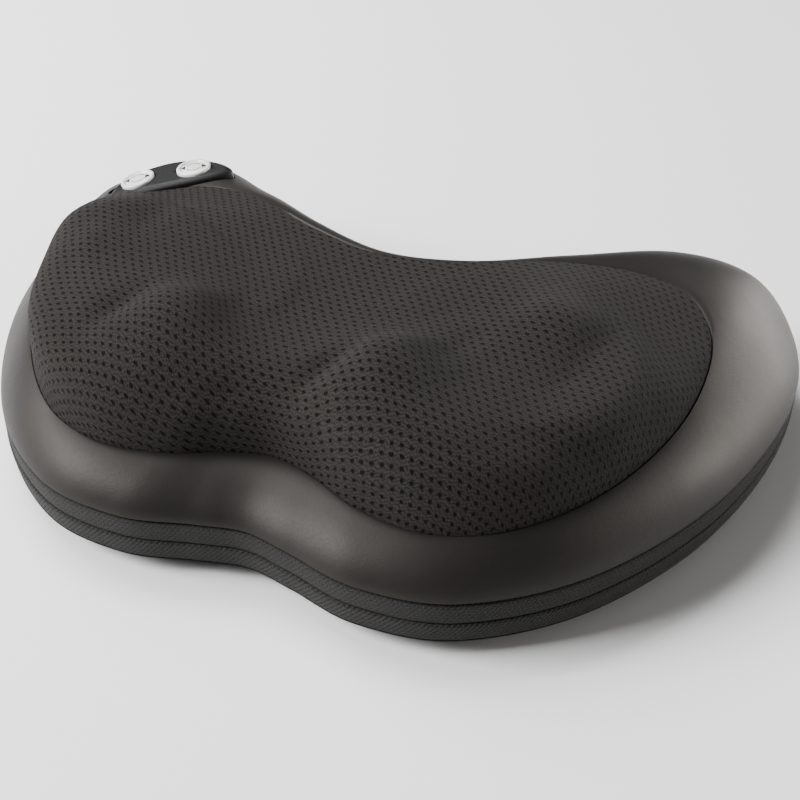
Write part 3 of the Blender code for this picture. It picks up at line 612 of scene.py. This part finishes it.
def make_tape(name, node, low, high, low_inset, hatch):
    """One of the zip's tapes: a band with its edges tucked in, low_inset further in at its lower edge."""
    heights = list(np.linspace(low, high, TAPE_ROWS))
    rows = []
    for k, z in enumerate(heights):
        t = k / (TAPE_ROWS - 1)
        tuck = 0.55 * (abs(2 * t - 1) ** 5)
        rows.append(seam_row(low_inset * (1 - t) + tuck + 0.05 * (1 - t), z))
    rows += [seam_row(TAPE_BACK, high - 0.4), seam_row(TAPE_BACK + low_inset, low + 0.4)]
    heights += [high, low]
    obj = loft(name, rows, woven_tape(f"{name}_twill", hatch), uv=lambda row, column: (GIRTH[column], heights[row]))
    add(obj, [node])


def make_coil():
    """The zip's teeth: a cord ribbed four points to a turn, set back between the tapes."""
    steps = COIL_TURNS * 4
    path, inside = along_seam(np.linspace(0, GIRTH[-1], steps, endpoint=False))
    size = 1 + 0.22 * np.cos(np.arange(steps) * math.pi / 2)
    rows = []
    for k in range(6):
        a = 2 * math.pi * k / 6
        xy = path + inside * (COIL_INSET - COIL_R * size * math.cos(a))[:, None]
        rows.append(np.column_stack([xy, ZIP_Z + COIL_R * size * math.sin(a)]))
    add(loft("zip_coil", rows, plastic("zip_coil_nylon", (0.004, 0.004, 0.004), 0.5)))


def oval(half_x, half_z, x, y, z, power=3.2, count=40):
    """An upright rounded rectangle of points."""
    a = np.linspace(0, 2 * math.pi, count, endpoint=False)
    c, t = np.cos(a), np.sin(a)
    return np.column_stack([x + half_x * np.sign(c) * np.abs(c) ** (2 / power), np.full(count, y),
                            z + half_z * np.sign(t) * np.abs(t) ** (2 / power)])


SLIDER_Y = 42.9  # the slider's face against the tapes
PULL_PIVOT_Y, PULL_PIVOT_Z = 47.5, ZIP_Z + 2


def make_slider():
    """The zip's slider, with its two ears, and the pierced pull tab that swings between them."""
    nickel = metal("black_nickel", (0.13, 0.13, 0.135), 0.34, (300.0, 300.0, 300.0))
    rows = []
    for y, trim in ((0.0, 0.5), (0.3, 0.1), (1.1, 0.0), (1.9, 0.15), (2.4, 0.5), (2.6, 1.1)):
        row = oval(4.4 - trim, 3.5 - trim, 0, SLIDER_Y + y, ZIP_Z)
        row[:, 0] *= 0.9 + 0.1 * np.clip((row[:, 2] - ZIP_Z) / 2.0, -1, 1)
        rows.append(row)
    add(loft("zip_slider_body", rows, nickel, ring=False, cap=True, sharp=50), ["zip_slider"])
    for side, label in ((-1, "left"), (1, "right")):
        rows = []
        for x, trim in ((1.85, 0.25), (2.0, 0.0), (2.8, 0.0), (3.0, 0.3)):
            ring = oval(1.9 - trim, 1.55 - trim, 0, 0, 0)
            rows.append(np.column_stack([np.full(len(ring), side * x), PULL_PIVOT_Y - 0.7 + ring[:, 0],
                                         PULL_PIVOT_Z + ring[:, 2]]))
        add(loft(f"zip_slider_ear_{label}", rows, nickel, ring=False, cap=True, sharp=50))
    # Half width, half height, and place of the plate's outline, then of its slot's.
    rows = [oval(w, h, 0, PULL_PIVOT_Y + y, PULL_PIVOT_Z + z) for w, h, y, z in (
        (1.25, 5.75, -0.6, -5.2), (1.5, 6.0, -0.35, -5.2), (1.5, 6.0, 0.35, -5.2), (1.25, 5.75, 0.6, -5.2),
        (0.68, 2.3, 0.6, -7.4), (0.55, 2.15, 0.3, -7.4), (0.55, 2.15, -0.3, -7.4), (0.68, 2.3, -0.6, -7.4))]
    add(loft("zip_pull_tab", rows, nickel, sharp=50), ["zip_pull"], "pull_tab")


STITCH_EVERY, STITCH_LONG, STITCH_R, STITCH_SIDES = 3.1, 2.1, 0.24, 5


def make_stitches():
    """The row of stitches just under the leather's edge, each a short thread that dips in at both ends."""
    count = int(GIRTH[-1] / STITCH_EVERY)
    starts = np.arange(count) * STITCH_EVERY
    heads, inside = along_seam(starts)
    tails, _ = along_seam(starts + STITCH_LONG)
    sides = range(STITCH_SIDES)
    rings = ((0.0, 0.5), (0.2, 1.0), (0.8, 1.0), (1.0, 0.5))
    verts, faces = [], []
    for head, tail, into in zip(heads, tails, inside):
        start = len(verts)
        for share, size in rings:
            xy = head * (1 - share) + tail * share
            sink = 0.55 + 0.3 * abs(2 * share - 1) ** 3
            for a in sides:
                angle = 2 * math.pi * a / STITCH_SIDES
                x, y = xy + into * (sink + STITCH_R * size * math.cos(angle))
                verts.append((x, y, SEAM_Z - 1.1 + STITCH_R * size * math.sin(angle)))
        for r in range(len(rings) - 1):
            low = start + r * STITCH_SIDES
            high = low + STITCH_SIDES
            for a in sides:
                b = (a + 1) % STITCH_SIDES
                faces.append((low + a, low + b, high + b, high + a))
        faces += [tuple(start + a for a in sides), tuple(high + a for a in sides)]
    add(build("seam_stitches", verts, faces, plastic("bonded_thread", (0.012, 0.012, 0.012), 0.6)))


def make_bottom():
    """The bottom cover, tucked steeply under from the lower tape. Its rows are (height, inset)."""
    outer = [(0.0, BASE_INSET + 7), (0.05, 15.0), (0.5, 13.2), (1.7, 10.9), (3.5, 8.0), (5.4, 4.9), (7.0, 2.5),
             (7.6, 1.5)]
    inner = [(7.7, 3.3), (6.5, 5.6), (3.3, 11.0), (1.6, 16.0)]
    cloth = leather("bottom_cloth", (0.007, 0.0067, 0.0065))
    obj = loft("bottom_panel", [seam_row(d, z) for z, d in outer + inner], cloth, ring=False, cap=True)
    add(obj, ["bottom_cover"])


def make_foam():
    """The foam surround. Its section's points are (height, inset), and stay inside the leather all round."""
    section = [(9.6, 4.8), (18, 3.9), (25, 4.2), (28.6, 7.4), (30.4, 10.4), (31.4, 14.6), (30.6, 15.6),
               (10, 15.6), (9.2, 14.8)]
    obj = loft("foam_ring", [seam_row(d, z) for z, d in section], foam())
    add(obj, ["foam_surround"])


# ---------------------------------------------------------------- control pod

def pod_frame():
    """The pod's own axes: x along it, y to the rear, z out of its face."""
    along = Vector((math.cos(POD_TURN), math.sin(POD_TURN), POD_RISE)).normalized()
    out = Vector((-math.sin(POD_TURN), math.cos(POD_TURN), -POD_FALL))
    normal = along.cross(out).normalized()
    turn = Matrix((along, normal.cross(along), normal)).transposed().to_4x4()
    return Matrix.Translation(POD_CENTRE) @ turn


POD = pod_frame()
POD_STEPS, POD_TIP_STEPS = 40, 14  # points along each side, and across each blunt tip
POD_RIM_GAP = 0.7  # between the pod and the covers round it


def arch(x):
    """The height of the pod's face, which falls away to both its ends."""
    return -x * x / (2 * POD_ARCH_R)


def crescent_rim(grow, drop):
    """Points round the pod's arched outline, this much larger all round and lower."""
    half = POD_HALF + grow
    lines = []
    for i in range(POD_STEPS + 1):
        x = half * math.sin(math.pi * (i / POD_STEPS - 0.5))
        bulge = max(0.03, 1 - (x / (half + 0.5)) ** 2) ** 0.6
        near, far = -(POD_INNER + grow) * bulge, (POD_OUTER + grow) * bulge
        lines.append([(x, near + (far - near) * j / POD_TIP_STEPS, arch(x) - drop) for j in range(POD_TIP_STEPS + 1)])
    return ([line[0] for line in lines] + lines[-1][1:-1] + [line[-1] for line in reversed(lines)]
            + lines[0][-2:0:-1])


def pod_hole(obj):
    """Opens the cover round the pod."""
    rim = crescent_rim(POD_RIM_GAP, 0)
    rows = [[POD @ Vector((x, y, height)) for x, y, z in rim] for height in (20, -13)]
    cut(obj, [loft("pod_cutter", rows, obj.data.materials[0], ring=False, cap=True)])
    obj.data.set_sharp_from_angle(angle=math.radians(50))


def circle(radius, seat, height=0.0, segments=64):
    return [seat @ Vector((radius * math.cos(a), radius * math.sin(a), height))
            for a in np.linspace(0, 2 * math.pi, segments + 1)[:-1]]


def make_pod():
    """The bezel: a face in rings from its middle out, a rounded rim and a wall, with a hole for each button."""
    shell = plastic("satin_black_abs", (0.006, 0.006, 0.0061), 0.5, Specular_IOR_Level=0.2)
    field = crescent_rim(-3.0, 0.0)
    middle = (POD_OUTER - POD_INNER) / 2
    rows = []
    for k in (0.01, 0.15, 0.3, 0.45, 0.6, 0.75, 0.9):
        spread = [(x * k, middle + (y - middle) * k) for x, y, z in field]
        rows.append([POD @ Vector((x, y, arch(x))) for x, y in spread])
    for grow, drop in ((-3.0, 0.0), (-2.6, 0.04), (-0.9, 0.95), (-0.35, 1.35), (0.0, 2.0), (0.0, 4.0), (0.0, 12.0),
                       (-2.0, 12.0), (-2.0, 3.2)):
        rows.append([POD @ Vector(p) for p in crescent_rim(grow, drop)])
    obj = loft("pod_bezel", rows, shell, ring=False, cap=True, sharp=38)
    cut(obj, [loft(f"cut_{way}", [circle(BUTTON_HOLE_R, button_seat(way), z) for z in (5, -5)], shell,
                   ring=False, cap=True) for way in (-1, 1)])
    add(obj, ["panel_bezel"])


def button_seat(way):
    """The place of one button's face, square to the arch under it."""
    x = BUTTON_MIDDLE + way * BUTTON_SPREAD
    lean = math.asin(x / POD_ARCH_R)
    return POD @ Matrix.Translation((x, BUTTON_Y, arch(x))) @ Matrix.Rotation(lean, 4, "Y")


def flat_mark(name, outline, seat, lift, material, body):
    """A thin printed shape lying on a button."""
    rows = [[seat @ Vector((x, y, lift + h)) for x, y in outline] for h in (0.0, 0.07)]
    add(loft(name, rows, material, ring=False, cap=True), body=body)


def make_buttons():
    """The two caps, with a raised rim round a dished face, each marked with two arrowheads and two arcs."""
    white = plastic("gloss_white_abs", (0.74, 0.74, 0.73), 0.22, grain=500.0, depth=0.00002, Coat_Weight=0.3)
    ink = plastic("dark_print", (0.006, 0.006, 0.006), 0.5)
    grey = plastic("grey_print", (0.14, 0.14, 0.14), 0.5)
    r = BUTTON_R
    profile = [(0.01, -3.2), (r - 0.3, -3.2), (r - 0.1, -3.0), (r, 0.3), (r - 0.15, 0.85), (r - 0.5, 1.25),
               (r - 1.4, 1.3), (r - 1.75, 1.1), (r - 1.95, 0.55), (r - 2.35, 0.55), (r - 2.6, 0.8),
               (r - 3.1, 0.95), (r - 5, 1.05), (0.01, 1.1)]
    for label, node, body, way in (("power_cap", "power_button", "power_key", -1),
                                   ("direction_cap", "direction_button", "direction_key", 1)):
        seat = button_seat(way)
        cap = loft(label, [circle(radius, seat, z) for radius, z in profile], white, ring=False, cap=True)
        add(cap, [node], body)
        for side, end in ((-1, "left"), (1, "right")):
            arrow = [(side * 6.15, 0), (side * 3.9, 1.95), (side * 3.9, -1.95)]
            flat_mark(f"{label}_arrow_{end}", arrow, seat, 1.0, ink, body)
        for half, end in ((-1, "low"), (1, "high")):
            arc = [(radius * math.cos(a), half * radius * math.sin(a))
                   for radius, first, last in ((3.7, 0.5, 2.6), (3.25, 2.6, 0.5)) for a in np.linspace(first, last, 18)]
            flat_mark(f"{label}_arc_{end}", arc, seat, 1.06, grey, body)


# ---------------------------------------------------------------- CAD nodes that stay

def dress_cad():
    """A material for every CAD node, by the material slot in its record."""
    looks = {
        "black_plastic": plastic("black_abs", (0.028, 0.028, 0.029), 0.42),
        "grey_plastic": plastic("glass_filled_nylon", (0.26, 0.26, 0.27), 0.5),
        "white_plastic": plastic("white_abs", (0.8, 0.8, 0.79), 0.3),
        "nylon": plastic("acetal", (0.74, 0.72, 0.66), 0.38, grain=400.0),
        "steel": metal("drawn_steel", (0.56, 0.56, 0.57), 0.28),
        "bronze": metal("sintered_bronze", (0.55, 0.36, 0.16), 0.38, (300.0, 300.0, 300.0)),
        "board": circuit(), "glass": lamp_glass(),
        "leather": leather("cad_leather"), "tape": woven_tape("cad_tape"),
        "mesh": plastic("cad_mesh", (0.04, 0.037, 0.036), 0.85), "foam": foam(),
    }
    slots = {entry["node"]: entry["material_slot"] for entry in frame["record"]["subparts"]}
    for name, node in frame["nodes"].items():
        node.data.materials.clear()
        node.data.materials.append(looks[slots[name]])


# ---------------------------------------------------------------- stage

# The camera, as fitted to the photograph: direction, what it looks at, distance, and then its focal length and the
# shift of its picture, in pixels of an 800-pixel frame.
AZIMUTH, ELEVATION = math.radians(23.2), math.radians(35.93)
CAMERA_TARGET, CAMERA_AWAY = Vector((0, 0.004, 0.027)), 0.650
FOCAL_PIXELS, FRAME_PIXELS = 1500.8, 800
OFF_X, OFF_Y = -37.7, -28.1
SENSOR = 36.0
# Area lights: place, what each points at, size, watts, colour, and whether it lights matt surfaces.
LIGHTS = {
    "overhead": ((-0.8, 0.45, 1.4), (0, 0, 0), (1.0, 0.9), 40, (1, 1, 1), True),
    "left_key": ((-1.42, -0.82, 1.12), (-0.02, 0, 0.05), (0.95, 0.9), 92, (1, 1, 1), True),
    "right_fill": ((1.85, 0.45, 0.5), (0.1, 0, 0.05), (0.8, 0.6), 7, (1.0, 0.95, 0.9), True),
    "back_card": ((1.5, 1.4, 0.55), (0.1, 0, 0.05), (2.1, 1.2), 98, (1.0, 0.965, 0.93), False),
}
SKY = 0.13
FLOOR_HALF = 9000
FLOOR_DROP = 0.0002  # metres under the part's lowest face


def make_camera():
    data = bpy.data.cameras.new("camera")
    camera = bpy.data.objects.new("camera", data)
    bpy.context.scene.collection.objects.link(camera)
    level = math.cos(ELEVATION)
    away = Vector((math.sin(AZIMUTH) * level, -math.cos(AZIMUTH) * level, math.sin(ELEVATION)))
    camera.location = CAMERA_TARGET + away * CAMERA_AWAY
    camera.rotation_euler = (-away).to_track_quat("-Z", "Y").to_euler()
    data.sensor_width = SENSOR
    data.lens = FOCAL_PIXELS / FRAME_PIXELS * SENSOR
    data.shift_x = -OFF_X / FRAME_PIXELS
    data.shift_y = OFF_Y / FRAME_PIXELS
    data.clip_start, data.clip_end = 0.05, 50
    bpy.context.scene.camera = camera


def softbox(name, location, target, size, power, colour, diffuse):
    data = bpy.data.lights.new(name, "AREA")
    data.shape = "RECTANGLE"
    data.size, data.size_y = size
    data.energy = power
    data.color = colour
    light = bpy.data.objects.new(name, data)
    bpy.context.scene.collection.objects.link(light)
    light.location = location
    light.rotation_euler = (Vector(target) - Vector(location)).to_track_quat("-Z", "Y").to_euler()
    light.visible_diffuse = diffuse


def make_stage():
    paper = Graph("white_paper", roughness=0.9)
    shade = paper.noise(paper.place(), 3.0, 2.0)
    surface = paper.finish(paper.mix(shade, (0.90, 0.90, 0.90), (0.93, 0.93, 0.93)))
    corners = [(x * FLOOR_HALF, y * FLOOR_HALF, 0) for x, y in ((-1, -1), (1, -1), (1, 1), (-1, 1))]
    floor = build("floor", corners, [(0, 1, 2, 3)], surface)
    floor.location.z = -FLOOR_DROP
    world = bpy.data.worlds.new("studio")
    world.use_nodes = True
    world.node_tree.nodes["Background"].inputs["Color"].default_value = (1, 1, 1, 1)
    world.node_tree.nodes["Background"].inputs["Strength"].default_value = SKY
    bpy.context.scene.world = world
    for name, settings in LIGHTS.items():
        softbox(name, *settings)


make_camera()
dress_cad()
make_mesh_top()
make_leather_side()
make_tape("zip_tape_top", "zip_tape_upper", ZIP_Z + ZIP_SLIT, SEAM_Z - 0.25, 0.35, 0.1)
make_tape("zip_tape_bottom", "zip_tape_lower", FLOOR_EDGE_Z - 0.1, ZIP_Z - ZIP_SLIT, LOWER_INSET, 0.2)
make_coil()
make_slider()
make_stitches()
make_bottom()
make_foam()
make_pod()
make_buttons()
make_stage()
